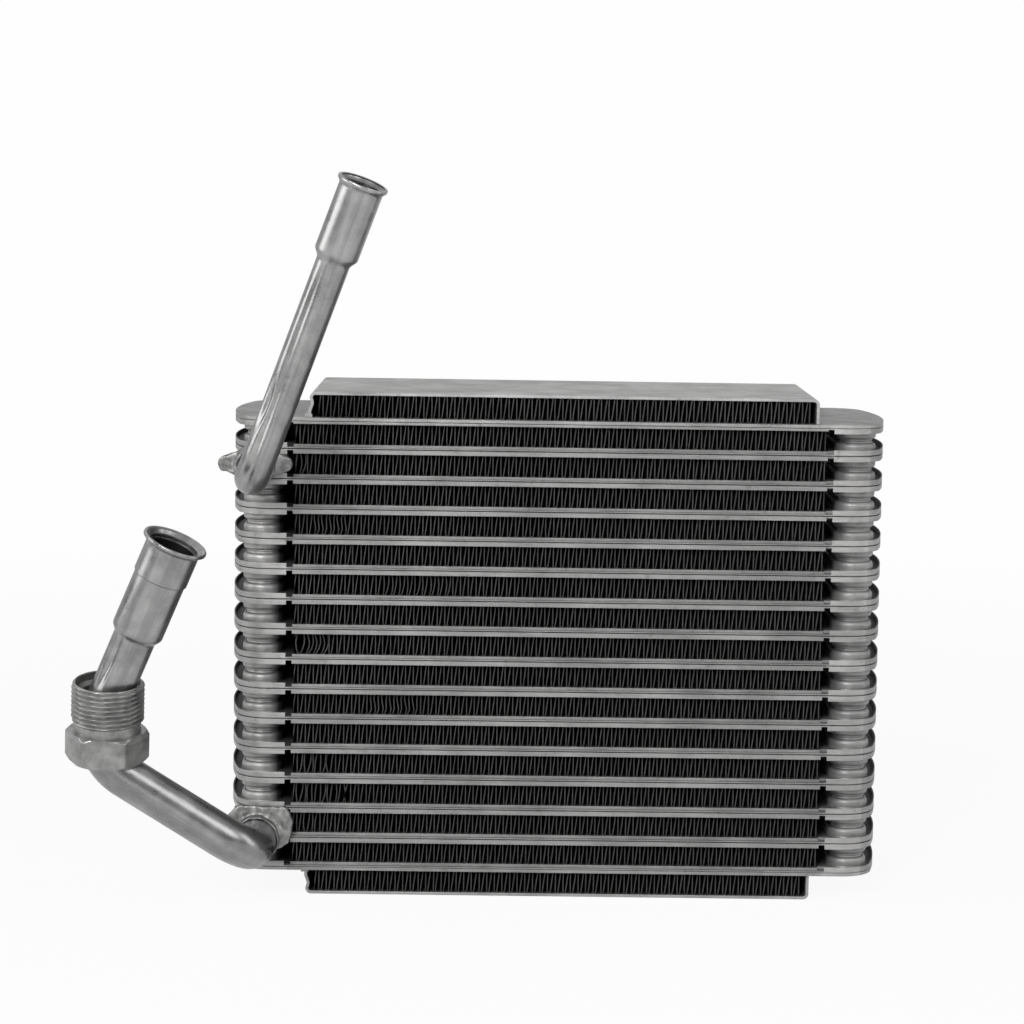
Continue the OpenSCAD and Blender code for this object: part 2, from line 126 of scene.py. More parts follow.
def stand_in(piece: bpy.types.Object, node: str, body: str) -> bpy.types.Object:
    """Puts a piece in the place of a solid.

    Args:
        piece: The piece.
        node: The solid that it stands for.
        body: The body that it rides on.

    Returns:
        The same piece.
    """
    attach(piece, body)
    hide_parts(node)
    return piece


def store_uv(piece: bpy.types.Object, uv: np.ndarray) -> None:
    """Writes one texture point for each mesh point, for finishes that run along a piece.

    Args:
        piece: The piece.
        uv: Texture points, in the order of the mesh's points.
    """
    layer = piece.data.uv_layers.new(name=UV_LAYER)
    loops = np.zeros(len(piece.data.loops), np.int32)
    piece.data.loops.foreach_get("vertex_index", loops)
    layer.data.foreach_set("uv", uv[loops].astype(np.float32).ravel())


def round_uv(angle: np.ndarray, along: np.ndarray) -> np.ndarray:
    """Texture points of a turned or drawn wall.

    Args:
        angle: Angles round it.
        along: Texture height of each row, as a column.

    Returns:
        Rows of texture points, which run from 1 to 0 and back round the wall, so no seam shows.
    """
    return np.stack(np.broadcast_arrays(np.abs(angle / math.pi - 1)[None, :], along), axis=2)


def smooth_step(x: np.ndarray) -> np.ndarray:
    """Eases from 0 to 1 as x goes from 0 to 1."""
    t = np.clip(x, 0, 1)
    return t * t * (3 - 2 * t)


def tilt_x(degrees: float) -> np.ndarray:
    """Rotation matrix about X."""
    return np.array(Matrix.Rotation(math.radians(degrees), 3, "X"))


# Finishes


class Nodes:
    """Adds shader nodes to a tree and links them."""

    def __init__(self, tree: bpy.types.NodeTree) -> None:
        """Empties the tree."""
        self.tree = tree
        self.tree.nodes.clear()

    def add(self, kind: str, settings: dict | None = None, **inputs: object) -> bpy.types.Node:
        """Adds a node.

        Args:
            kind: The node's type without its ShaderNode prefix.
            settings: Properties to set on the node.
            **inputs: A number, a colour or another node's socket for each input. An underscore
                in the name stands for a space, and a leading i before digits for a position.

        Returns:
            The node.
        """
        node = self.tree.nodes.new("ShaderNode" + kind)
        for key, value in (settings or {}).items():
            setattr(node, key, value)
        for key, value in inputs.items():
            place = int(key[1:]) if key[1:].isdigit() else key.replace("_", " ")
            socket = node.inputs[place]
            if isinstance(value, bpy.types.NodeSocket):
                self.tree.links.new(value, socket)
            else:
                socket.default_value = value
        return node

    def math(self, what: str, a: object, b: object = 0.0) -> Socket:
        """Adds a sum, product or other operation on two values."""
        return self.add("Math", {"operation": what}, i0=a, i1=b).outputs[0]

    def ramp(self, value: Socket, low: float, high: float, start: float, end: float) -> Socket:
        """Maps value from low..high to start..end, held at both ends."""
        return self.add("MapRange", None, i0=value, i1=low, i2=high, i3=start, i4=end).outputs[0]

    def parts(self, vector: Socket) -> tuple[Socket, Socket, Socket]:
        """X, Y and Z of a vector."""
        return tuple(self.add("SeparateXYZ", None, Vector=vector).outputs)


class Graph(Nodes):
    """Shader nodes of a new material."""

    def __init__(self, name: str) -> None:
        """Starts an empty material.

        Args:
            name: Its name.
        """
        self.material = bpy.data.materials.new(name)
        self.material.use_nodes = True
        super().__init__(self.material.node_tree)

    def place(self) -> Socket:
        """Place on the object, in metres."""
        return self.add("TexCoord").outputs["Object"]

    def along(self) -> Socket:
        """Texture point along the piece."""
        return self.add("UVMap", {"uv_map": UV_LAYER}).outputs[0]

    def noise(self, where: Socket, scale: float, detail: float = 3.0, rough: float = 0.55) -> Socket:
        """Adds a noise pattern and returns its value."""
        node = self.add("TexNoise", None, Vector=where, Scale=scale, Detail=detail, Roughness=rough)
        return node.outputs[0]

    def streaks(self, where: Socket, scale: Point, detail: float = 3.0, rough: float = 0.55) -> Socket:
        """Adds a noise pattern with a scale for each direction and returns its value."""
        return self.noise(self.add("Mapping", None, Vector=where, Scale=scale).outputs[0], 1.0, detail, rough)

    def mix(self, share: Socket, a: object, b: object) -> Socket:
        """Mixes two colours by share."""
        return self.add("Mix", {"data_type": "RGBA"}, i0=share, i6=a, i7=b).outputs[2]

    def bump(self, height: Socket, strength: float, depth: float, under: Socket | None = None) -> Socket:
        """Adds a bump.

        Args:
            height: Pattern that sets its height.
            strength: Its strength.
            depth: Its depth in millimetres.
            under: Another bump that it lies on.

        Returns:
            The bumped normal.
        """
        node = self.add("Bump", None, Height=height, Strength=strength, Distance=depth * MM)
        if under is not None:
            self.tree.links.new(under, node.inputs["Normal"])
        return node.outputs[0]

    def rounded(self, radius: float) -> Socket:
        """Normal of the surface with its edges rounded to a radius in millimetres."""
        return self.add("Bevel", {"samples": 4}, Radius=radius * MM).outputs[0]

    def metal(
        self, colour: Socket, roughness: Socket, normal: Socket, metallic: object
    ) -> bpy.types.Material:
        """Closes the material with a metal shader.

        Args:
            colour, roughness, normal: Its patterns.
            metallic: How metallic it is, as a number or a pattern.

        Returns:
            The material.
        """
        shader = self.add("BsdfPrincipled", None, Base_Color=colour, Roughness=roughness,
                          Normal=normal, Metallic=metallic)
        self.add("OutputMaterial", None, Surface=shader.outputs[0])
        return self.material


def grey(value: float, warmth: float = 0.0) -> tuple[float, float, float, float]:
    """A grey, warmed or cooled a little."""
    return (value * (1 + warmth), value, value * (1 - warmth), 1.0)


@dataclass(frozen=True)
class SheetFinish:
    """Brazed aluminium sheet: mottled by flux and water stains, darkened inside the stack by painted shade.

    Args:
        name: The material's name.
        light, dark: Tones of clean and stained sheet.
        stain: Tone of the spots.
        shade_tone: Tone of the painted shade.
        metallic: How metallic unshaded sheet is.
        sheet_rough: Least and most roughness of unshaded sheet.
        shade_rough: Roughness of shaded sheet, so that it shows no reflections.
        shade_y: Distance from the middle of the depth beyond which no shade is painted.
        shade_left, shade_right: Ends of the shaded stretch along the tubes.
        fade_y, fade_left, fade_right: Lengths over which the painted shade thins out there.
        beyond: Share of painted shade past its right end.
        floors: Share of painted shade on level faces, past both ends too.
        lips: Share of a plain darkening of all sheet in the middle stretch along the tubes, lips included.
        lips_end: Distances from the middle along the tubes between which that darkening ends.
        top, fade_top: Height above which the painted shade thins out, and how soon.
        top_shade: How much of the painted shade is left there.
        facing: Least and most of a normal's part with which a face counts as turned that way.
        clouds, spots, sheen: Scales of the mottle, the spots and the changes in roughness.
        rolled: Scale of the rolling marks in each direction.
        edge: Radius to which edges look rounded.
    """

    name: str
    light: float = 0.38
    dark: float = 0.24
    stain: float = 0.13
    shade_tone: float = 0.012
    metallic: float = 0.75
    sheet_rough: Span = (0.4, 0.56)
    shade_rough: float = 0.95
    shade_y: float = 41.6
    shade_left: float = -107.6
    shade_right: float = 97.5
    fade_y: float = 0.3
    fade_left: float = 3.5
    fade_right: float = 4.0
    beyond: float = 0.25
    floors: float = 0.75
    lips: float = 0.3
    lips_end: Span = (103.0, 104.5)
    top: float = 184.0
    fade_top: float = 1.0
    top_shade: float = 0.45
    facing: Span = (0.8, 0.95)
    clouds: float = 55.0
    spots: float = 260.0
    sheen: float = 140.0
    rolled: Point = (70.0, 70.0, 2300.0)
    edge: float = 0.35

    def painted_shade(self, g: Graph, at: Socket) -> Socket:
        """Share of painted shade: most between the tubes, less on the floors of the tank ends.

        Faces turned to the right on the left half get it too, and the middle stretch along the tubes,
        lips included, is also darkened a little.

        Args:
            g: The material's nodes.
            at: Place on the object.

        Returns:
            The share, from 0 to 1.
        """
        x, depth, height = g.parts(at)
        across, _, level = g.parts(g.add("NewGeometry").outputs["True Normal"])
        off = g.math("ABSOLUTE", depth)
        inside = g.ramp(off, (self.shade_y - self.fade_y) * MM, self.shade_y * MM, 1.0, 0.0)
        left = g.ramp(x, (self.shade_left - self.fade_left) * MM, self.shade_left * MM, 0.0, 1.0)
        right = g.ramp(x, self.shade_right * MM, (self.shade_right + self.fade_right) * MM, 1.0, self.beyond)
        floor = g.ramp(g.math("ABSOLUTE", level), *self.facing, 0.0, self.floors)
        most = g.math("MULTIPLY", inside, g.math("MAXIMUM", g.math("MULTIPLY", left, right), floor))
        # Painted shade on faces turned to the right on the left half, the insides of the cups there.
        inner = g.math("MULTIPLY", g.ramp(across, *self.facing, 0.0, 1.0), g.ramp(x, -MM, MM, 1.0, 0.0))
        near, far = self.lips_end
        # A plain darkening of the middle stretch along the tubes.
        lips = g.ramp(g.math("ABSOLUTE", x), near * MM, far * MM, self.lips, 0.0)
        share = g.math("MAXIMUM", g.math("MAXIMUM", most, lips), inner)
        top_share = g.ramp(height, (self.top - self.fade_top) * MM, self.top * MM, 1.0, self.top_shade)
        return g.math("MULTIPLY", share, top_share)

    def build(self) -> bpy.types.Material:
        """Makes the material.

        Returns:
            The material.
        """
        g = Graph(self.name)
        at = g.place()
        cloud = g.noise(at, self.clouds, 4.0, 0.6)
        tone = g.mix(g.ramp(cloud, 0.35, 0.68, 0.0, 1.0), grey(self.dark, 0.01), grey(self.light, 0.012))
        spots = g.noise(at, self.spots, 3.0, 0.65)
        tone = g.mix(g.ramp(spots, 0.60, 0.74, 0.0, 0.6), tone, grey(self.stain, 0.03))
        grain = g.streaks(at, self.rolled, 2.0, 0.5)
        tone = g.mix(g.ramp(grain, 0.45, 0.7, 0.0, 0.4), tone, grey(self.light * 1.25))
        # Painted shade: sheet inside the stack and in the tank ends' hollows turns near black, rough and less
        # metallic.
        painted_shade = self.painted_shade(g, at)
        tone = g.mix(painted_shade, tone, grey(self.shade_tone, 0.02))
        base_rough = g.ramp(g.noise(at, self.sheen), 0.3, 0.7, *self.sheet_rough)
        rough = g.math("MAXIMUM", base_rough, g.math("MULTIPLY", painted_shade, self.shade_rough))
        bump = g.bump(grain, 0.5, 0.03, g.bump(spots, 0.5, 0.03, g.rounded(self.edge)))
        return g.metal(tone, rough, bump, g.ramp(painted_shade, 0.0, 1.0, self.metallic, 0.0))


@dataclass(frozen=True)
class FinFinish:
    """Fin strip, near black with painted shade in the stack and at the folds, lighter at front and back
    edges.

    Args:
        name: The material's name.
        edge_y: Distance from the middle of the depth of the edges that the painted shade leaves out.
        fade: Distances from there between which the painted shade gives way.
        edge, inside: Tones of the edges and of the painted shade inside the stack.
        folds: Shares of a row's height between which the lower fold ends, and the upper starts.
        fold_unshaded: Share of the edges' lighter tone left beside the legs at the folds, under painted
            shade.
        wear, dust: Scales of the wear and the dust.
        rough: Least and most roughness.
        metallic: How metallic it is.
    """

    name: str
    edge_y: float = 40.7
    fade: Span = (-0.9, 0.4)
    edge: float = 0.052
    inside: float = 0.02
    folds: tuple[float, float, float, float] = (0.05, 0.2, 0.84, 0.97)
    fold_unshaded: float = 0.1
    wear: float = 90.0
    dust: float = 420.0
    rough: Span = (0.5, 0.75)
    metallic: float = 0.5

    def build(self) -> bpy.types.Material:
        """Makes the material.

        Returns:
            The material.
        """
        g = Graph(self.name)
        at = g.place()
        # Painted shade: the strip darkens from its front and back edges into the stack.
        depth = g.math("ABSOLUTE", g.parts(at)[1])
        unshaded = g.ramp(depth, (self.edge_y + self.fade[0]) * MM, (self.edge_y + self.fade[1]) * MM, 0.0, 1.0)
        worn = g.ramp(g.noise(at, self.wear, 3.0, 0.7), 0.35, 0.65, 0.35, 1.0)
        # Painted shade at the folds, where the tubes' lips shade them.
        rise = g.parts(g.along())[1]
        lower = g.ramp(rise, *self.folds[:2], self.fold_unshaded, 1.0)
        upper = g.ramp(rise, *self.folds[2:], 1.0, self.fold_unshaded)
        unshaded = g.math("MULTIPLY", g.math("MULTIPLY", unshaded, worn), g.math("MULTIPLY", lower, upper))
        dust = g.ramp(g.noise(at, self.dust), 0.4, 0.75, 0.0, 0.25)
        # The body's tone is painted shade, flecked with dust.
        body = g.mix(dust, grey(self.inside), grey(self.inside * 4, 0.02))
        tone = g.mix(unshaded, body, grey(self.edge, 0.01))
        rough = g.ramp(g.noise(at, 300.0), 0.3, 0.7, *self.rough)
        return g.metal(tone, rough, g.bump(dust, 0.3, 0.04), self.metallic)


@dataclass(frozen=True)
class TubeFinish:
    """Drawn pipe: bands and streaks along it, mottled stains, a satin sheen, and painted shade in the bore.

    Args:
        name: The material's name.
        light, dark: Tones of bright and stained pipe.
        bore: Tone of the painted shade in the bore.
        bands, streaks: Scales round and along the pipe.
        clouds, pits: Scales of the stains and the pits.
        rough: Least and most roughness.
        metallic: How metallic it is.
    """

    name: str
    light: float = 0.41
    dark: float = 0.24
    bore: float = 0.07
    bands: Point = (7.0, 0.9, 1.0)
    streaks: Point = (34.0, 6.0, 1.0)
    clouds: float = 70.0
    pits: float = 560.0
    rough: Span = (0.24, 0.38)
    metallic: float = 0.95

    def build(self) -> bpy.types.Material:
        """Makes the material.

        Returns:
            The material.
        """
        g = Graph(self.name)
        at, along = g.place(), g.along()
        bands = g.streaks(along, self.bands, 2.0, 0.5)
        streak = g.streaks(along, self.streaks, 4.0, 0.6)
        cloud = g.noise(at, self.clouds, 5.0, 0.66)
        tone = g.mix(g.ramp(cloud, 0.34, 0.66, 0.0, 1.0), grey(self.dark, 0.006), grey(self.light, 0.006))
        tone = g.mix(g.ramp(bands, 0.42, 0.56, 0.4, 0.0), tone, grey(self.dark * 0.75, -0.02))
        tone = g.mix(g.ramp(streak, 0.5, 0.78, 0.0, 0.25), tone, grey(self.light * 1.2))
        pits = g.noise(at, self.pits, 3.0, 0.65)
        tone = g.mix(g.ramp(pits, 0.6, 0.74, 0.0, 0.4), tone, grey(self.dark * 0.55, 0.02))
        # Painted shade: the bore, past the mouth's groove, is darkened near black.
        inside = g.ramp(g.parts(along)[0], SHADED_BORE_UV - 0.1, SHADED_BORE_UV, 0.0, 1.0)
        tone = g.mix(inside, tone, grey(self.bore, 0.02))
        rough = g.ramp(cloud, 0.3, 0.7, *self.rough)
        bump = g.bump(streak, 0.4, 0.02, g.bump(pits, 0.5, 0.02, g.bump(cloud, 0.6, 0.22)))
        return g.metal(tone, rough, bump, self.metallic)


@dataclass(frozen=True)
class TurnedFinish:
    """Bar stock turned and threaded, with fine rings and small dents.

    Args:
        name: The material's name.
        light, dark: Tones of bright and stained metal.
        rings: Scale of the tool marks round and along the piece.
        clouds, dents: Scales of the stains and the dents.
        rough: Least and most roughness.
        metallic: How metallic it is.
    """

    name: str
    light: float = 0.34
    dark: float = 0.2
    rings: Point = (2.0, 900.0, 1.0)
    clouds: float = 150.0
    dents: float = 420.0
    rough: Span = (0.3, 0.48)
    metallic: float = 0.85

    def build(self) -> bpy.types.Material:
        """Makes the material.

        Returns:
            The material.
        """
        g = Graph(self.name)
        at = g.place()
        rings = g.streaks(g.along(), self.rings)
        cloud = g.noise(at, self.clouds, 4.0, 0.6)
        tone = g.mix(g.ramp(cloud, 0.36, 0.64, 0.0, 1.0), grey(self.dark, 0.01), grey(self.light, 0.01))
        dents = g.noise(at, self.dents, 2.0, 0.6)
        rough = g.ramp(rings, 0.3, 0.7, *self.rough)
        bump = g.bump(rings, 0.4, 0.02, g.bump(dents, 0.6, 0.1))
        return g.metal(tone, rough, bump, self.metallic)


@dataclass(frozen=True)
class BrazedFinish:
    """Lumpy braze metal and the rough body of a saddle.

    Args:
        name: The material's name.
        light, dark: Tones of its high and low spots.
        lumps, grain: Scales of the lumps and of the grain.
        rough: Least and most roughness.
        metallic: How metallic it is.
    """

    name: str
    light: float = 0.3
    dark: float = 0.13
    lumps: float = 230.0
    grain: float = 1500.0
    rough: Span = (0.36, 0.58)
    metallic: float = 0.8

    def build(self) -> bpy.types.Material:
        """Makes the material.

        Returns:
            The material.
        """
        g = Graph(self.name)
        at = g.place()
        lumps = g.noise(at, self.lumps, 4.0, 0.6)
        tone = g.mix(g.ramp(lumps, 0.35, 0.65, 0.0, 1.0), grey(self.dark, 0.01), grey(self.light, 0.01))
        grain = g.noise(at, self.grain, 2.0)
        rough = g.ramp(grain, 0.3, 0.7, *self.rough)
        return g.metal(tone, rough, g.bump(grain, 0.4, 0.03, g.bump(lumps, 0.8, 0.35)), self.metallic)


@dataclass(frozen=True)
class FloorFinish:
    """White paper that keeps a soft shadow near the object and shows in metal, whiter to the right.

    Args:
        name: The material's name.
        white: Tone of the paper.
        mirrored: How white it shows in metal, at the left and at the right.
        mirror_x: Places in metres between which that changes.
        veil: How much of the background's white the camera sees near the object.
        fade: Distances in metres between which that rises to all of it.
    """

    name: str = "paper"
    white: float = 0.8
    mirrored: Span = (0.42, 0.75)
    mirror_x: Span = (-0.05, 0.3)
    veil: float = 0.94
    fade: Span = (0.3, 1.1)

    def build(self) -> bpy.types.Material:
        """Makes the material.

        Returns:
            The material.
        """
        g = Graph(self.name)
        at = g.place()
        paper = g.add("BsdfDiffuse", None, Color=grey(self.white))
        glow = g.add("Emission", None, Color=grey(BACKGROUND), Strength=1.0)
        rays = g.add("LightPath").outputs
        right = g.ramp(g.parts(at)[0], *self.mirror_x, *self.mirrored)
        mirrored = g.math("MULTIPLY", rays["Is Glossy Ray"], right)
        away = g.add("VectorMath", {"operation": "LENGTH"}, i0=at).outputs[1]
        seen = g.math("MULTIPLY", rays["Is Camera Ray"], g.ramp(away, *self.fade, self.veil, 1.0))
        share = g.math("MAXIMUM", seen, mirrored)
        surface = g.add("MixShader", None, i0=share, i1=paper.outputs[0], i2=glow.outputs[0])
        g.add("OutputMaterial", None, Surface=surface.outputs[0])
        return g.material


# Fins


class Hurt(Enum):
    """How a stretch of fin is bent."""

    BOW = "bow"
    SWAY = "sway"
    CRUSH = "crush"


@dataclass(frozen=True)
class Damage:
    """A stretch of a fin row bent out of line.

    Args:
        row: Row number from the top.
        low, high: Ends of the stretch along X.
        size: Largest sideways shift.
        kind: The shape of the bend.
    """

    row: int
    low: float
    high: float
    size: float
    kind: Hurt


@dataclass
class FinStack:
    """All rows of folded fin, each leg waved through the depth of the core.

    Args:
        material: The finish.
        pitch: Distance from leg to leg.
        thickness: Thickness of the strip.
        lean: How much further a leg's top lies from its foot, to one side and the other by turns.
        slant: How far every leg leans to one side.
        wave, straight_y: Sideways wave through the depth, and the distance from the middle beyond
            which there is none.
        jitter: Spread of the small drawn shifts.
        levels: Points up a leg.
        seed: Start of the draws.
        damages: The bent stretches.
        some: Least and most share of its size that a bent leg shifts.
        kink: Least and most power that moves a crushed leg's bulge up or down.
        stations: Places through the depth where a leg has points.
    """

    material: bpy.types.Material
    pitch: float = 1.48
    thickness: float = 0.4
    lean: float = 0.5
    slant: float = 0.6
    wave: float = 0.8
    straight_y: float = 38.0
    jitter: float = 0.05
    levels: int = 5
    seed: int = 7
    damages: tuple[Damage, ...] = (
        Damage(3, -101.0, -97.0, 0.9, Hurt.BOW),
        Damage(5, -94.0, -82.0, 0.5, Hurt.SWAY),
        Damage(7, -68.0, -42.0, 0.55, Hurt.BOW),
        Damage(9, -102.0, -98.5, -1.3, Hurt.BOW),
        Damage(9, -98.5, -89.0, 1.4, Hurt.BOW),
        Damage(11, -72.0, -53.0, 0.5, Hurt.SWAY),
        Damage(13, -101.0, -88.0, 0.8, Hurt.CRUSH),
        Damage(14, -101.0, -80.0, 0.9, Hurt.CRUSH),
        Damage(15, -101.0, -90.0, 0.9, Hurt.CRUSH),
    )
    some: Span = (0.6, 1.0)
    kink: Span = (0.6, 1.6)
    stations: tuple[float, ...] = (-41.2, -38.5, -33, -27, -21, -14, -7, 0, 7, 14, 21, 27, 33, 38.5, 41.2)

    def bend(self, row: int, x: float, t: np.ndarray, draw: np.random.Generator) -> np.ndarray:
        """Sideways shift of a leg.

        Args:
            row: Row number from the top.
            x: The leg's place along the row.
            t: Shares of its height.
            draw: Source of the drawn values.

        Returns:
            The shift at each share of its height.
        """
        bulge = np.sin(math.pi * t)
        shift = draw.normal(0, self.jitter) * bulge
        for hurt in self.damages:
            if hurt.row != row or not hurt.low <= x <= hurt.high:
                continue
            size = hurt.size * draw.uniform(*self.some)
            if hurt.kind is Hurt.BOW:
                shift = shift + size * bulge
            elif hurt.kind is Hurt.SWAY:
                shift = shift + size * np.sin(TURN * t)
            else:
                size = draw.uniform(-1, 1) * size
                shift = shift + size * np.sin(math.pi * t ** draw.uniform(*self.kink))
        return shift

    def strip(self, row: int, count: int, low: float, high: float) -> tuple[np.ndarray, np.ndarray]:
        """Both sides of the folded strip, seen from the front.

        Args:
            row: Row number from the top.
            count: Number of the last leg; legs start from 0.
            low: Height of the row's underside.
            high: Height of its top.

        Returns:
            Matching points of the two sides, as X and Z.
        """
        draw = np.random.default_rng(self.seed * 100 + row)
        height = high - low
        half = self.thickness / 2
        side_a, side_b = [], []
        for i in range(count + 1):
            up = i % 2 == 0
            sign = 1 if up else -1
            t = np.linspace(0, 1, self.levels)[::sign]
            x = (i - count / 2) * self.pitch
            mid = x + (sign * self.lean / 2 + self.slant / 2) * (2 * t - 1)
            mid = mid + draw.normal(0, self.jitter) + self.bend(row, x, t, draw)
            folded = (t == 0) & ((up and i > 0) or (not up and i < count))
            z_a = np.where(folded, self.thickness, t * height)
            z_b = np.where(t == 1, height - self.thickness, t * height)
            side_a.append(np.stack([mid - sign * half, low + z_a], axis=1))
            side_b.append(np.stack([mid + sign * half, low + z_b], axis=1))
        return np.concatenate(side_a), np.concatenate(side_b)

    def skin(self, n: int) -> np.ndarray:
        """Lists the quads over both sides, both edges and both ends of a strip.

        Args:
            n: Number of points of one side at one station.

        Returns:
            An array of four point numbers for each quad.
        """
        m = len(self.stations)
        index = np.arange(m * n * 2).reshape(m, n, 2)
        loops = []
        for side, flip in ((0, True), (1, False)):
            p, q = index[:-1, :-1, side], index[:-1, 1:, side]
            r, s = index[1:, 1:, side], index[1:, :-1, side]
            loops.append((p, q, r, s, flip))
        for k, flip in ((0, False), (m - 1, True)):
            loops.append((index[k, :-1, 0], index[k, 1:, 0], index[k, 1:, 1], index[k, :-1, 1], flip))
        for i, flip in ((0, False), (n - 1, True)):
            loops.append((index[:-1, i, 0], index[:-1, i, 1], index[1:, i, 1], index[1:, i, 0], flip))
        quads = []
        for p, q, r, s, flip in loops:
            order = (p, s, r, q) if flip else (p, q, r, s)
            quads.append(np.stack([v.ravel() for v in order], axis=1))
        return np.concatenate(quads)

    def build_row(self, row: int) -> bpy.types.Object:
        """Makes one row in the space of its solid.

        Args:
            row: Row number from the top.

        Returns:
            The piece.
        """
        node = f"fin_{row:02d}"
        low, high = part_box(node)
        width = (high[0] - low[0]) / MM
        count = 2 * int((width - self.thickness) / self.pitch / 2) + 1
        if count * self.pitch > width:
            count -= 2
        sides = self.strip(row, count, low[2] / MM, high[2] / MM)
        half, middle = width / 2, (low[0] + high[0]) / 2 / MM
        points = np.empty((len(self.stations), len(sides[0]), 2, 3))
        for k, y in enumerate(self.stations):
            shift = 0.0 if abs(y) > self.straight_y else self.wave * (1 if k % 2 else -1)
            points[k, :, :, 1] = y
            for side, line in enumerate(sides):
                points[k, :, side, 0] = middle + np.clip(line[:, 0] + shift, -half, half)
                points[k, :, side, 2] = line[:, 1]
        faces = self.skin(len(sides[0]))
        points = points.reshape(-1, 3)
        piece = new_piece(f"folded_{node}", points, faces, self.material)
        rise = (points[:, 2] - low[2] / MM) / (high[2] - low[2]) * MM
        store_uv(piece, np.stack([points[:, 0] * UV_STEP, rise], axis=1))
        return stand_in(piece, node, "core")

    def build(self) -> list[bpy.types.Object]:
        """Makes every row.

        Returns:
            The pieces, from the top.
        """
        rows = sorted(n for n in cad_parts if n.startswith("fin_"))
        return [self.build_row(int(name[-2:])) for name in rows]


# Pipes


@dataclass
class Route:
    """Centre line of a pipe.

    Args:
        points: Points along it.
        ways: Its direction at each point.
        step: Distance from point to point.
    """

    points: list[np.ndarray] = field(default_factory=list)
    ways: list[np.ndarray] = field(default_factory=list)
    step: float = 1.5

    def start(self, point: np.ndarray, way: np.ndarray) -> None:
        """Sets the first point and direction."""
        self.points, self.ways = [point], [way]

    def straight(self, length: float) -> None:
        """Goes straight on.

        Args:
            length: How far.
        """
        count = max(1, int(length / self.step))
        at, way = self.points[-1], self.ways[-1]
        for i in range(1, count + 1):
            self.points.append(at + way * length * i / count)
            self.ways.append(way)

    def turn(self, way: np.ndarray, radius: float) -> None:
        """Bends round on an arc.

        Args:
            way: The new direction.
            radius: The arc's radius.
        """
        at, old = self.points[-1], self.ways[-1]
        angle = math.acos(float(np.clip(old @ way, -1, 1)))
        side = way - old * (old @ way)
        side = side / np.linalg.norm(side)
        count = max(4, int(radius * angle / self.step))
        for i in range(1, count + 1):
            a = angle * i / count
            self.points.append(at + radius * (math.sin(a) * old + (1 - math.cos(a)) * side))
            self.ways.append(math.cos(a) * old + math.sin(a) * side)

    def distances(self) -> np.ndarray:
        """Distance along the line at each point."""
        p = np.array(self.points)
        return np.concatenate([[0], np.cumsum(np.linalg.norm(np.diff(p, axis=0), axis=1))])

    def at(self, distance: np.ndarray) -> tuple[np.ndarray, np.ndarray, np.ndarray, np.ndarray]:
        """Places along the line.

        Args:
            distance: Distances from its start.

        Returns:
            Points, directions and two cross directions, a row for each distance.
        """
        p, w, d = np.array(self.points), np.array(self.ways), self.distances()
        u = np.zeros_like(w)
        first = np.cross(w[0], (0.0, 0.0, 1.0))
        u[0] = first / np.linalg.norm(first)
        for i in range(1, len(w)):
            v = u[i - 1] - w[i] * (u[i - 1] @ w[i])
            u[i] = v / np.linalg.norm(v)
        point, way, side = (
            np.stack([np.interp(distance, d, line[:, k]) for k in range(3)], axis=1) for line in (p, w, u)
        )
        way /= np.linalg.norm(way, axis=1)[:, None]
        side -= way * np.sum(way * side, axis=1)[:, None]
        side /= np.linalg.norm(side, axis=1)[:, None]
        return point, way, side, np.cross(way, side)


@dataclass(frozen=True)
class Bend:
    """A bend in a pipe.

    Args:
        radius: Radius of the pipe's centre line in it.
        lean: Angle from Z towards X of the direction after it, in degrees.
        length: Length from its corner to the next one, or to the lip.
    """

    radius: float
    lean: float
    length: float


@dataclass(frozen=True)
class Dent:
    """A shallow hollow in a pipe's wall.

    Args:
        below: Distance of its middle from the lip.
        toward: Direction that its side of the pipe faces.
        length: Half its length.
        width: Half its width as an angle in degrees.
        depth: Depth in the middle.
    """

    below: float
    toward: Point
    length: float
    width: float
    depth: float


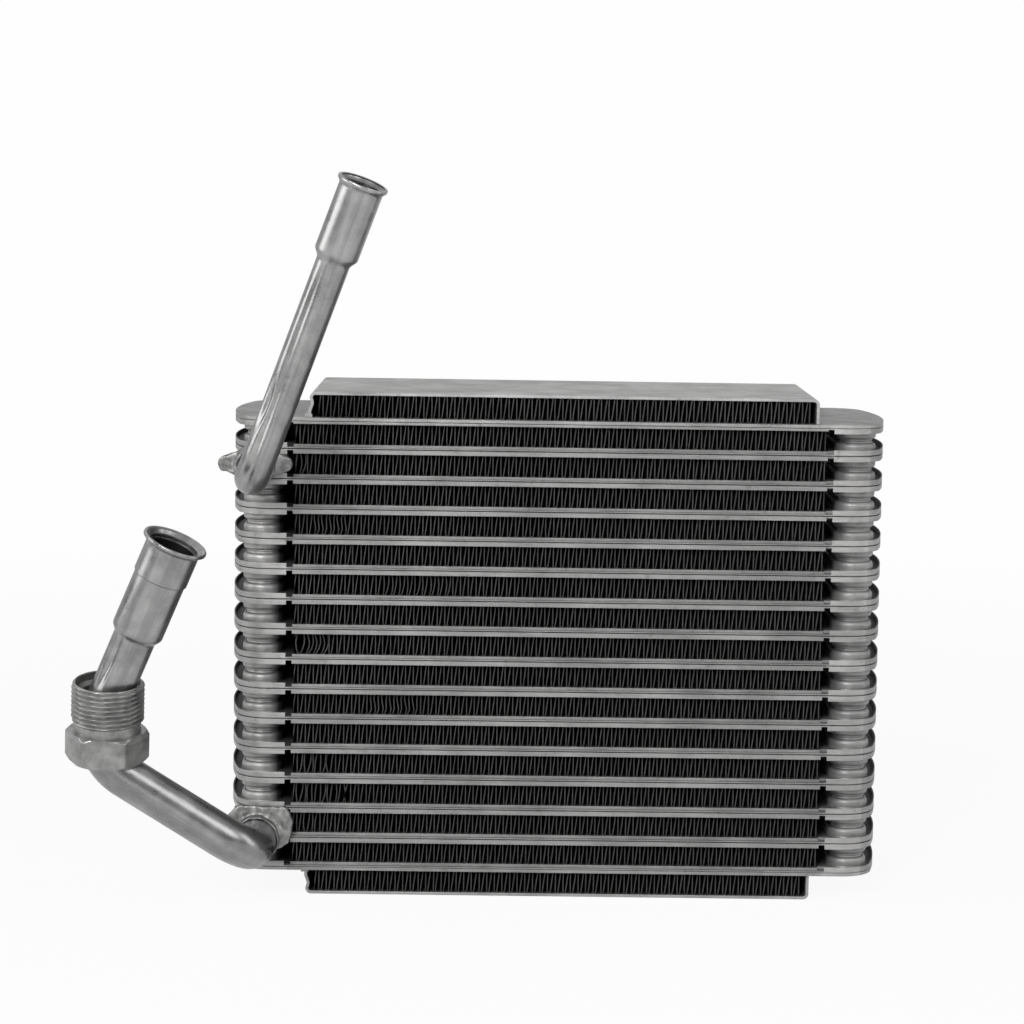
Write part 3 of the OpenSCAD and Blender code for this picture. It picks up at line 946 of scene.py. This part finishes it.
@dataclass
class BentPipe:
    """A bent pipe with a widened end and a lip.

    Args:
        node: The solid that it stands for.
        material: The finish.
        entry: Middle of its end in the tank's front.
        reach: Distance from the tank to the corner of the first bend.
        bends: Its bends, from the tank on.
        radius: Outside radius.
        end: Radius and length of the widened end.
        mouth: Radius and length of the mouth, which is a little wider or as wide.
        lip: Radius of the lip.
        wall: Thickness of the wall.
        tilt: How far the pipe tips towards the front behind its first bend, in degrees.
        root_tilt: The same for the first straight length.
        stop: How deep its end sits in the saddle, from the entry.
        sides: Points round it.
        step: Distance between the rows of points on plain pipe.
        nearest: Distance from a corner of the widened end to the next row.
        ease: Half the length of the bore's step behind the mouth.
        flare: Where the mouth starts to widen to the lip, below it, and over what length.
        swell: Power of that widening.
        edge: Radius of the lip's outer edge.
        brim: Depth below the lip of its inner edge, and how much smaller than the lip it is.
        funnel: Depth below the lip, and radius beyond the mouth's, of each point from there to the
            bore, past a ring groove.
        bore_top: Depth below the lip at which the bore starts.
        crease: Angle in degrees above which an edge stays sharp.
        dents: Hollows in the wall.
    """

    node: str
    material: bpy.types.Material
    entry: Point
    reach: float
    bends: tuple[Bend, ...]
    radius: float
    end: Span
    mouth: Span
    lip: float
    wall: float = 1.25
    tilt: float = 10.0
    root_tilt: float = 10.0
    stop: float = 2.0
    sides: int = 96
    step: float = 1.5
    nearest: float = 1.0
    ease: float = 0.2
    flare: Span = (3.0, 2.0)
    swell: float = 1.3
    edge: float = 0.5
    brim: Span = (0.15, 1.1)
    funnel: tuple[Span, ...] = (
        (0.7, 0.25), (1.6, -0.35), (1.9, -0.8), (2.6, -0.8), (2.8, -0.35), (3.4, -0.35),
    )
    bore_top: float = 3.7
    crease: float = 40.0
    dents: tuple[Dent, ...] = ()

    def route(self) -> Route:
        """Centre line from the saddle to the lip.

        Returns:
            The line.
        """
        turn = tilt_x(self.tilt)
        line = Route()
        out = tilt_x(self.root_tilt) @ np.array([0.0, -1.0, 0.0])
        line.start(np.array(self.entry) + self.stop * out, out)
        left = self.reach - self.stop
        for bend in self.bends:
            lean = math.radians(bend.lean)
            way = turn @ np.array([math.sin(lean), 0.0, math.cos(lean)])
            angle = math.acos(float(np.clip(line.ways[-1] @ way, -1, 1)))
            cut = bend.radius * math.tan(angle / 2)
            line.straight(left - cut)
            line.turn(way, bend.radius)
            left = bend.length - cut
        line.straight(left)
        return line

    def outline(self, total: float) -> tuple[np.ndarray, int]:
        """Distances and radii of the wall, outside towards the lip and back inside.

        Args:
            total: Length of the centre line.

        Returns:
            Rows of distance and radius, and the number of rows on the outside.
        """
        r, (end_r, end_l), (mouth_r, mouth_l), w = self.radius, self.end, self.mouth, self.wall
        taper, step = 2 * (end_r - r), mouth_r - end_r
        end, mouth, body = total - end_l, total - mouth_l, total - end_l - taper
        plain = np.arange(0, body, self.step)
        outside = [[d, r] for d in plain]
        for share in np.linspace(0, 1, 9):
            outside.append([body + taper * share, r + (end_r - r) * float(smooth_step(share))])
        outside += [[d, end_r] for d in np.linspace(end + self.nearest, mouth - step, 8)]
        if step > 0:
            outside += [[mouth, mouth_r]]
            outside += [[d, mouth_r] for d in np.linspace(mouth + self.nearest, total - 5, 5)]
        below, length = self.flare
        for share in np.linspace(0, 1, 7):
            rise = (self.lip - mouth_r) * float(smooth_step(share)) ** self.swell
            outside.append([total - below + length * share, mouth_r + rise])
        edge = self.edge
        for a in np.linspace(0, math.pi / 2, 6)[1:]:
            outside.append([total - edge + edge * math.sin(a), self.lip - edge + edge * math.cos(a)])
        inside = [[total - self.brim[0], self.lip - self.brim[1]]]
        inside += [[total - below, mouth_r + beyond] for below, beyond in self.funnel]
        inside += [[total - self.bore_top, mouth_r - w]]
        inside += [[mouth + self.ease, mouth_r - w], [mouth - self.ease, end_r - w]]
        inside += [[d, end_r - w] for d in np.linspace(mouth - 2, end, 5)]
        inside += [[body - 0.5, r - w]]
        inside += [[d, r - w] for d in plain[::-1]]
        return np.array(outside + inside), len(outside)

    def hollow(self, way: np.ndarray, ring: np.ndarray, above: np.ndarray) -> np.ndarray:
        """Depth of all dents together.

        Args:
            way: The pipe's direction at each row.
            ring: Directions from its middle to the wall, row by row.
            above: Distance of each row from the lip, less than 0 before it.

        Returns:
            The depth at each point.
        """
        depth = np.zeros(ring.shape[:2])
        for dent in self.dents:
            toward = np.array(dent.toward) - way * (way @ np.array(dent.toward))[:, None]
            toward /= np.linalg.norm(toward, axis=1)[:, None]
            off = np.arccos(np.clip(np.sum(ring * toward[:, None, :], axis=2), -1, 1))
            off /= math.radians(dent.width)
            near = (above + dent.below) / dent.length
            depth += dent.depth * np.exp(-near ** 2)[:, None] * np.exp(-off ** 2)
        return depth

    def build(self) -> bpy.types.Object:
        """Makes the pipe.

        Returns:
            The piece.
        """
        line = self.route()
        total = float(line.distances()[-1])
        rows, outer = self.outline(total)
        centre, way, u, v = line.at(rows[:, 0])
        angle = np.arange(self.sides) / self.sides * TURN
        ring = np.cos(angle)[None, :, None] * u[:, None, :] + np.sin(angle)[None, :, None] * v[:, None, :]
        radius = rows[:, 1:2] - self.hollow(way, ring, rows[:, 0] - total)
        points = (centre[:, None, :] + radius[:, :, None] * ring).reshape(-1, 3)
        faces = grid_faces(len(rows), self.sides, True, True)
        piece = new_piece(f"drawn_{self.node}", points, faces, self.material)
        smooth(piece.data, self.crease)
        uv = round_uv(angle, rows[:, 0:1] * UV_STEP)
        # The bore's texture points are moved on, so that the finish paints shade there.
        uv[outer + 1 + len(self.funnel):, :, 0] += SHADED_BORE_UV
        store_uv(piece, uv.reshape(-1, 2))
        return stand_in(piece, self.node, "core")


# Union nut


@dataclass
class UnionNut:
    """The captive nut: hexagon, relief neck and a cut thread, round a stepped bore.

    Args:
        material: The finish.
        foot: Middle of its lower end.
        lean, tilt: How far its axis leans along X and tips towards the front, in degrees.
        hex_w, hex_h: Width across the flats and height of the hexagon.
        hex_rim: How much wider than the flats the cone is that chamfers its corners, at its ends.
        hex_rise: Rise of that cone's radius over height.
        corner, middle: Heights above the hexagon's ends where its fine rows stop and its coarse
            rows start.
        relief_r, relief_h: Radius and height of the neck.
        thread_r, thread_h: Radius and height of the thread.
        pitch: The thread's pitch.
        steep: How much steeper the thread's flanks are than a plain zigzag's.
        root: How far its roots are cut below that zigzag's, as a share of its depth.
        lead: How much smaller the thread starts at its free end.
        bore: Depth below the free end and radius of each corner of the bore.
        foot_edge: Height over the foot and radius of its last two corners.
        thread_rows: Rows of points up the thread.
        sides: Points round it.
        crease: Angle in degrees above which an edge stays sharp.
    """

    material: bpy.types.Material
    foot: Point
    lean: float = 2.0
    tilt: float = 10.0
    hex_w: float = 27.4
    hex_h: float = 11.4
    hex_rim: float = 0.5
    hex_rise: float = 1.3
    corner: float = 2.6
    middle: float = 3.2
    relief_r: float = 12.4
    relief_h: float = 2.8
    thread_r: float = 13.5
    thread_h: float = 15.8
    pitch: float = 1.814
    steep: float = 1.25
    root: float = 0.1
    lead: float = 1.0
    bore: tuple[Span, ...] = (
        (0.0, 12.3), (0.35, 11.95), (3.0, 11.95), (4.3, 10.45), (10.6, 10.45), (11.9, 11.5),
    )
    foot_edge: tuple[Span, ...] = ((0.8, 11.5), (0.0, 12.3))
    thread_rows: int = 132
    sides: int = 144
    crease: float = 35.0

    def outside(self, z: np.ndarray, angle: np.ndarray) -> np.ndarray:
        """Radius of the outside.

        Args:
            z: Heights over the foot.
            angle: Angles round the axis.

        Returns:
            A row of radii for each height.
        """
        across = self.hex_w / 2
        sector = np.mod(angle, TURN / 6) - TURN / 12
        flats = across / np.cos(sector)
        cone = across + self.hex_rim + np.minimum(z, self.hex_h - z) * self.hex_rise
        hexagon = np.minimum(flats[None, :], cone[:, None])
        base = self.hex_h + self.relief_h
        top = self.hex_h + self.relief_h + self.thread_h
        phase = np.mod((z[:, None] - base) / self.pitch - angle[None, :] / TURN, 1.0)
        tooth = np.clip(np.abs(phase - 0.5) * 2 * self.steep - self.root, 0, 1)
        depth = self.thread_r - self.relief_r
        fade = smooth_step((z - base) / self.pitch)[:, None]
        thread = self.relief_r + depth * fade * tooth
        thread = np.minimum(thread, (self.thread_r - self.lead + (top - z))[:, None])
        neck = np.full_like(thread, self.relief_r)
        out = np.where((z < self.hex_h)[:, None], hexagon, neck)
        return np.where((z > base)[:, None], thread, out)

    def build(self) -> bpy.types.Object:
        """Makes the nut.

        Returns:
            The piece.
        """
        base = self.hex_h + self.relief_h
        top = base + self.thread_h
        # Two rows a hair apart make the hexagon's flat top, and the neck ends just below the thread.
        ledge = 0.001
        z = np.concatenate([
            np.linspace(0, self.corner, 9),
            np.linspace(self.middle, self.hex_h - self.middle, 5),
            np.linspace(self.hex_h - self.corner, self.hex_h - ledge, 9),
            [self.hex_h + ledge, base - 0.3],
            np.linspace(base, top, self.thread_rows),
        ])
        angle = (np.arange(self.sides) + 0.5) / self.sides * TURN
        radius = self.outside(z, angle)
        bore = np.array([(top - below, r) for below, r in self.bore] + list(self.foot_edge))
        z = np.concatenate([z, bore[:, 0]])
        radius = np.concatenate([radius, np.repeat(bore[:, 1:2], self.sides, axis=1)])
        x, y = radius * np.cos(angle), radius * np.sin(angle)
        flat = np.stack(np.broadcast_arrays(x, y, z[:, None]), axis=2)
        spin = tilt_x(self.tilt) @ np.array(Matrix.Rotation(math.radians(self.lean), 3, "Y"))
        points = flat.reshape(-1, 3) @ spin.T + np.array(self.foot)
        faces = grid_faces(len(z), self.sides, True, True)
        piece = new_piece("threaded_union_nut", points, faces, self.material)
        smooth(piece.data, self.crease)
        store_uv(piece, round_uv(angle, z[:, None] * MM).reshape(-1, 2))
        return stand_in(piece, "union_nut", "nut")


# Solids that keep their shape


@dataclass
class CastSaddle:
    """A saddle with worn edges and lumps of braze, moulded over its solid.

    Args:
        node: The solid that it follows.
        material: The finish.
        seed: Start of the draw for the lumps.
        grain: Size of the mesh's cells.
        rounds: How often its edges are worn down.
        hold: Share of its own place that a point keeps each time.
        lump: Height of the lumps.
        waves: Number of waves that make up the lumps.
        spread: Least and most waves to the millimetre, as an angle.
    """

    node: str
    material: bpy.types.Material
    seed: int
    grain: float = 0.4
    rounds: int = 5
    hold: float = 0.4
    lump: float = 0.22
    waves: int = 14
    spread: Span = (0.9, 2.6)

    def skin(self) -> tuple[np.ndarray, list[tuple[int, ...]], np.ndarray]:
        """Makes an even mesh over the solid.

        Returns:
            Its points, faces and edges.
        """
        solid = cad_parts[self.node]
        even = bpy.data.objects.new("even", solid.data.copy())
        bpy.context.scene.collection.objects.link(even)
        cells = even.modifiers.new("cells", "REMESH")
        cells.mode, cells.voxel_size = "VOXEL", self.grain * MM
        mesh = bpy.data.meshes.new_from_object(even.evaluated_get(bpy.context.evaluated_depsgraph_get()))
        points = np.zeros(len(mesh.vertices) * 3)
        mesh.vertices.foreach_get("co", points)
        edges = np.zeros(len(mesh.edges) * 2, np.int64)
        mesh.edges.foreach_get("vertices", edges)
        faces = [tuple(f.vertices) for f in mesh.polygons]
        bpy.data.objects.remove(even)
        return points.reshape(-1, 3) / MM, faces, edges.reshape(-1, 2)

    def wear(self, points: np.ndarray, edges: np.ndarray) -> np.ndarray:
        """Moves each point towards the mean of its neighbours, a few times.

        Args:
            points: The mesh's points.
            edges: Pairs of point numbers.

        Returns:
            The moved points.
        """
        a, b = edges.T
        count = np.bincount(np.concatenate([a, b]), minlength=len(points))[:, None]
        for _ in range(self.rounds):
            total = np.zeros_like(points)
            np.add.at(total, a, points[b])
            np.add.at(total, b, points[a])
            points = self.hold * points + (1 - self.hold) * total / count
        return points

    def lumps(self, points: np.ndarray) -> np.ndarray:
        """Sums waves in drawn directions.

        Args:
            points: The mesh's points.

        Returns:
            The shift of each point.
        """
        draw = np.random.default_rng(self.seed)
        shift = np.zeros_like(points)
        for _ in range(self.waves):
            way = draw.normal(size=3)
            way *= draw.uniform(*self.spread) / np.linalg.norm(way)
            push = draw.normal(size=3)
            shift += np.sin(points @ way + draw.uniform(0, TURN))[:, None] * push / np.linalg.norm(push)
        return shift * self.lump / math.sqrt(self.waves)

    def build(self) -> bpy.types.Object:
        """Makes the saddle.

        Returns:
            The piece.
        """
        points, faces, edges = self.skin()
        points = self.wear(points, edges)
        piece = new_piece(f"cast_{self.node}", points + self.lumps(points), faces, self.material)
        piece.data.shade_smooth()
        return stand_in(piece, self.node, "core")


@dataclass
class CoreSolids:
    """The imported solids, each with a finish; those that no piece replaces keep their shape.

    Args:
        plates: Finish of the tube plates, and of the rest.
        sides: Finish of the side plates.
        crease: Angle in degrees above which an edge stays sharp.
    """

    plates: bpy.types.Material
    sides: bpy.types.Material
    crease: float = 30.0

    def dress(self) -> int:
        """Gives each solid its finish.

        Returns:
            How many there are.
        """
        for name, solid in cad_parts.items():
            finish = self.sides if "side_plate" in name else self.plates
            solid.data.materials.clear()
            solid.data.materials.append(finish)
            smooth(solid.data, self.crease)
        return len(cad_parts)


# Studio


@dataclass(frozen=True)
class Lamp:
    """A soft rectangular lamp, in metres and watts.

    Args:
        name: Its name.
        power: Its power.
        size: Its width and height.
        place: Its middle.
        target: The point that it faces.
    """

    name: str
    power: float
    size: Span
    place: Point
    target: Point

    def hang(self) -> None:
        """Makes the lamp and turns it to its target."""
        data = bpy.data.lights.new(self.name, "AREA")
        data.shape, data.energy = "RECTANGLE", self.power
        data.size, data.size_y = self.size
        lamp = bpy.data.objects.new(self.name, data)
        way = np.array(self.target) - np.array(self.place)
        turn = Matrix.Rotation(math.atan2(-way[0], way[1]), 4, "Z")
        turn = turn @ Matrix.Rotation(math.atan2(math.hypot(way[0], way[1]), -way[2]), 4, "X")
        turn.translation = self.place
        lamp.matrix_world = turn
        bpy.context.scene.collection.objects.link(lamp)


@dataclass(frozen=True)
class Viewpoint:
    """The photograph's view, fitted to the edges of the core.

    Args:
        place: The camera's place.
        pitch, yaw, roll: Its turns in degrees.
        focal: Focal length in pixels of the frame.
        centre: Pixel that the camera's axis passes through.
        image: Side of the square frame in pixels.
        film: Width of the camera's sensor.
        clip: Nearest and furthest distance that it sees, in metres.
    """

    place: Point = (-23.04, -1205.28, 280.43)
    pitch: float = -5.096
    yaw: float = -0.883
    roll: float = -0.907
    focal: float = 3049.6
    centre: Span = (547.7, 442.9)
    image: int = 1024
    film: float = 36.0
    clip: Span = (0.05, 50.0)

    def build(self) -> None:
        """Places the camera."""
        data = bpy.data.cameras.new("camera")
        data.sensor_width = self.film
        data.lens = self.focal / self.image * self.film
        data.shift_x = (self.image / 2 - self.centre[0]) / self.image
        data.shift_y = (self.centre[1] - self.image / 2) / self.image
        data.clip_start, data.clip_end = self.clip
        eye = bpy.data.objects.new("camera", data)
        turn = Matrix.Rotation(math.radians(self.yaw), 3, "Z")
        turn = turn @ Matrix.Rotation(math.radians(self.pitch), 3, "X")
        turn = turn @ Matrix.Rotation(math.radians(self.roll), 3, "Y")
        right, ahead, up = turn.col
        stance = Matrix((right, up, -ahead)).transposed().to_4x4()
        stance.translation = [v * MM for v in self.place]
        eye.matrix_world = stance
        bpy.context.scene.collection.objects.link(eye)
        bpy.context.scene.camera = eye


@dataclass
class Studio:
    """Floor, lamps, world and camera.

    Args:
        view: The camera.
        lamps: The lamps.
        floor_half: Half the floor's side.
        floor_z: Height of the floor.
        ambient: Soft light from all round.
        front, back, above: The room that metal shows: its front wall, what its back wall adds to
            that, and what its ceiling adds.
        walls: Share of the way back between which one wall turns into the other.
        ceiling: Share of the way up between which the ceiling starts.
    """

    view: Viewpoint = Viewpoint()
    lamps: tuple[Lamp, ...] = (
        Lamp("key", 34.0, (0.8, 0.8), (-0.75, -1.75, 1.2), (0.0, 0.0, 0.12)),
        Lamp("front", 6.8, (0.5, 1.3), (-0.4, -1.9, 0.5), (0.0, 0.0, 0.1)),
        Lamp("right", 4.5, (0.3, 1.2), (1.5, -0.2, 0.4), (-0.1, 0.0, 0.1)),
        Lamp("near", 2.2, (0.45, 0.45), (0.55, -0.62, 0.55), (0.0, 0.0, 0.1)),
        Lamp("side", 4.0, (0.6, 0.6), (-1.1, -0.2, 0.5), (0.0, 0.0, 0.1)),
    )
    floor_half: float = 6000.0
    floor_z: float = -0.2
    ambient: float = 0.25
    front: float = 0.14
    back: float = 0.5
    above: float = 0.35
    walls: Span = (-0.2, 0.8)
    ceiling: Span = (0.1, 0.8)

    def floor(self) -> None:
        """Lays the floor under the object."""
        half, z = self.floor_half, self.floor_z
        points = np.array([[-half, -half, z], [half, -half, z], [half, half, z], [-half, half, z]])
        new_piece("floor", points, [(0, 1, 2, 3)], FloorFinish().build())

    def world(self) -> None:
        """Makes a world that is white to the camera, and a dim room with a pale back wall to metal."""
        world = bpy.data.worlds.new("studio")
        bpy.context.scene.world = world
        world.use_nodes = True
        g = Nodes(world.node_tree)
        _, behind, height = g.parts(g.add("TexCoord").outputs["Generated"])
        wall = g.ramp(behind, *self.walls, self.front, self.front + self.back)
        room = g.math("ADD", wall, g.ramp(height, *self.ceiling, 0.0, self.above))
        rays = g.add("LightPath").outputs
        glossy = g.math("MULTIPLY", rays["Is Glossy Ray"], room)
        soft = g.math("MULTIPLY", g.math("SUBTRACT", 1.0, rays["Is Glossy Ray"]), self.ambient)
        seen = g.math("MULTIPLY", rays["Is Camera Ray"], BACKGROUND)
        level = g.math("MAXIMUM", seen, g.math("ADD", glossy, soft))
        light = g.add("Background", None, Color=grey(1.0), Strength=level)
        g.add("OutputWorld", None, Surface=light.outputs[0])

    def build(self) -> int:
        """Sets up the whole studio.

        Returns:
            How many lamps it has.
        """
        self.view.build()
        self.floor()
        for lamp in self.lamps:
            lamp.hang()
        self.world()
        bpy.context.scene.view_settings.view_transform = "Standard"
        return len(self.lamps)


# The whole object


def upper_pipe(material: bpy.types.Material) -> BentPipe:
    """The thinner pipe, creased near its bend.

    Args:
        material: The finish.

    Returns:
        The pipe's sizes.
    """
    return BentPipe(
        "upper_pipe", material, entry=(-116.6, -44.0, 167.5), reach=34.5,
        bends=(Bend(15.5, 20.2, 123.4),), radius=6.35, end=(8.3, 28.0), mouth=(8.3, 4.4), lip=9.5,
        dents=(
            Dent(90.0, (-0.8, -0.6, 0.0), 9.0, 17.0, 1.4),
            Dent(99.0, (-0.32, -0.95, 0.0), 22.0, 13.0, 1.0),
            Dent(90.0, (0.45, -0.89, 0.0), 2.6, 24.0, 0.6),
            Dent(56.0, (-0.5, -0.87, 0.0), 26.0, 13.0, 0.5),
        ),
    )


def lower_pipe(material: bpy.types.Material) -> BentPipe:
    """The thicker pipe, which carries the nut.

    Args:
        material: The finish.

    Returns:
        The pipe's sizes.
    """
    return BentPipe(
        "lower_pipe", material, entry=(-115.0, -44.0, 22.8), reach=31.0, root_tilt=0.0,
        bends=(Bend(14.0, -56.7, 73.0), Bend(21.0, 22.8, 89.5)), radius=7.95, end=(9.7, 37.0),
        mouth=(10.2, 14.8), lip=12.2,
        dents=(
            Dent(50.0, (-0.66, -0.75, 0.0), 11.0, 13.0, 1.7),
            Dent(52.0, (0.1, -0.99, 0.0), 8.0, 22.0, 0.5),
            Dent(28.0, (-0.2, -0.97, 0.0), 7.0, 20.0, 0.25),
        ),
    )


def main() -> None:
    """Builds every piece around the solids, then the studio."""
    logging.basicConfig(level=logging.INFO)
    solids = CoreSolids(
        plates=SheetFinish("plate_sheet").build(),
        # The side plates get less of the middle darkening and keep no painted shade on top.
        sides=SheetFinish("side_sheet", light=0.4, dark=0.27, lips=0.2, top_shade=0.0).build(),
    )
    LOG.info("dressed %d solids", solids.dress())
    for row in FinStack(FinFinish("fin_strip").build()).build():
        LOG.info("folded %s", row.name)
    tube = TubeFinish("drawn_tube").build()
    for pipe in (upper_pipe(tube), lower_pipe(tube)):
        LOG.info("drew %s", pipe.build().name)
    cast = BrazedFinish("saddle_body").build()
    for node, seed in (("upper_saddle", 3), ("lower_saddle", 4)):
        LOG.info("moulded %s", CastSaddle(node, cast, seed).build().name)
    nut = UnionNut(TurnedFinish("turned_bar").build(), foot=(-168.114, -81.595, 60.202))
    LOG.info("cut %s", nut.build().name)
    LOG.info("hung %d lamps", Studio().build())


if __name__ == "__main__":
    main()
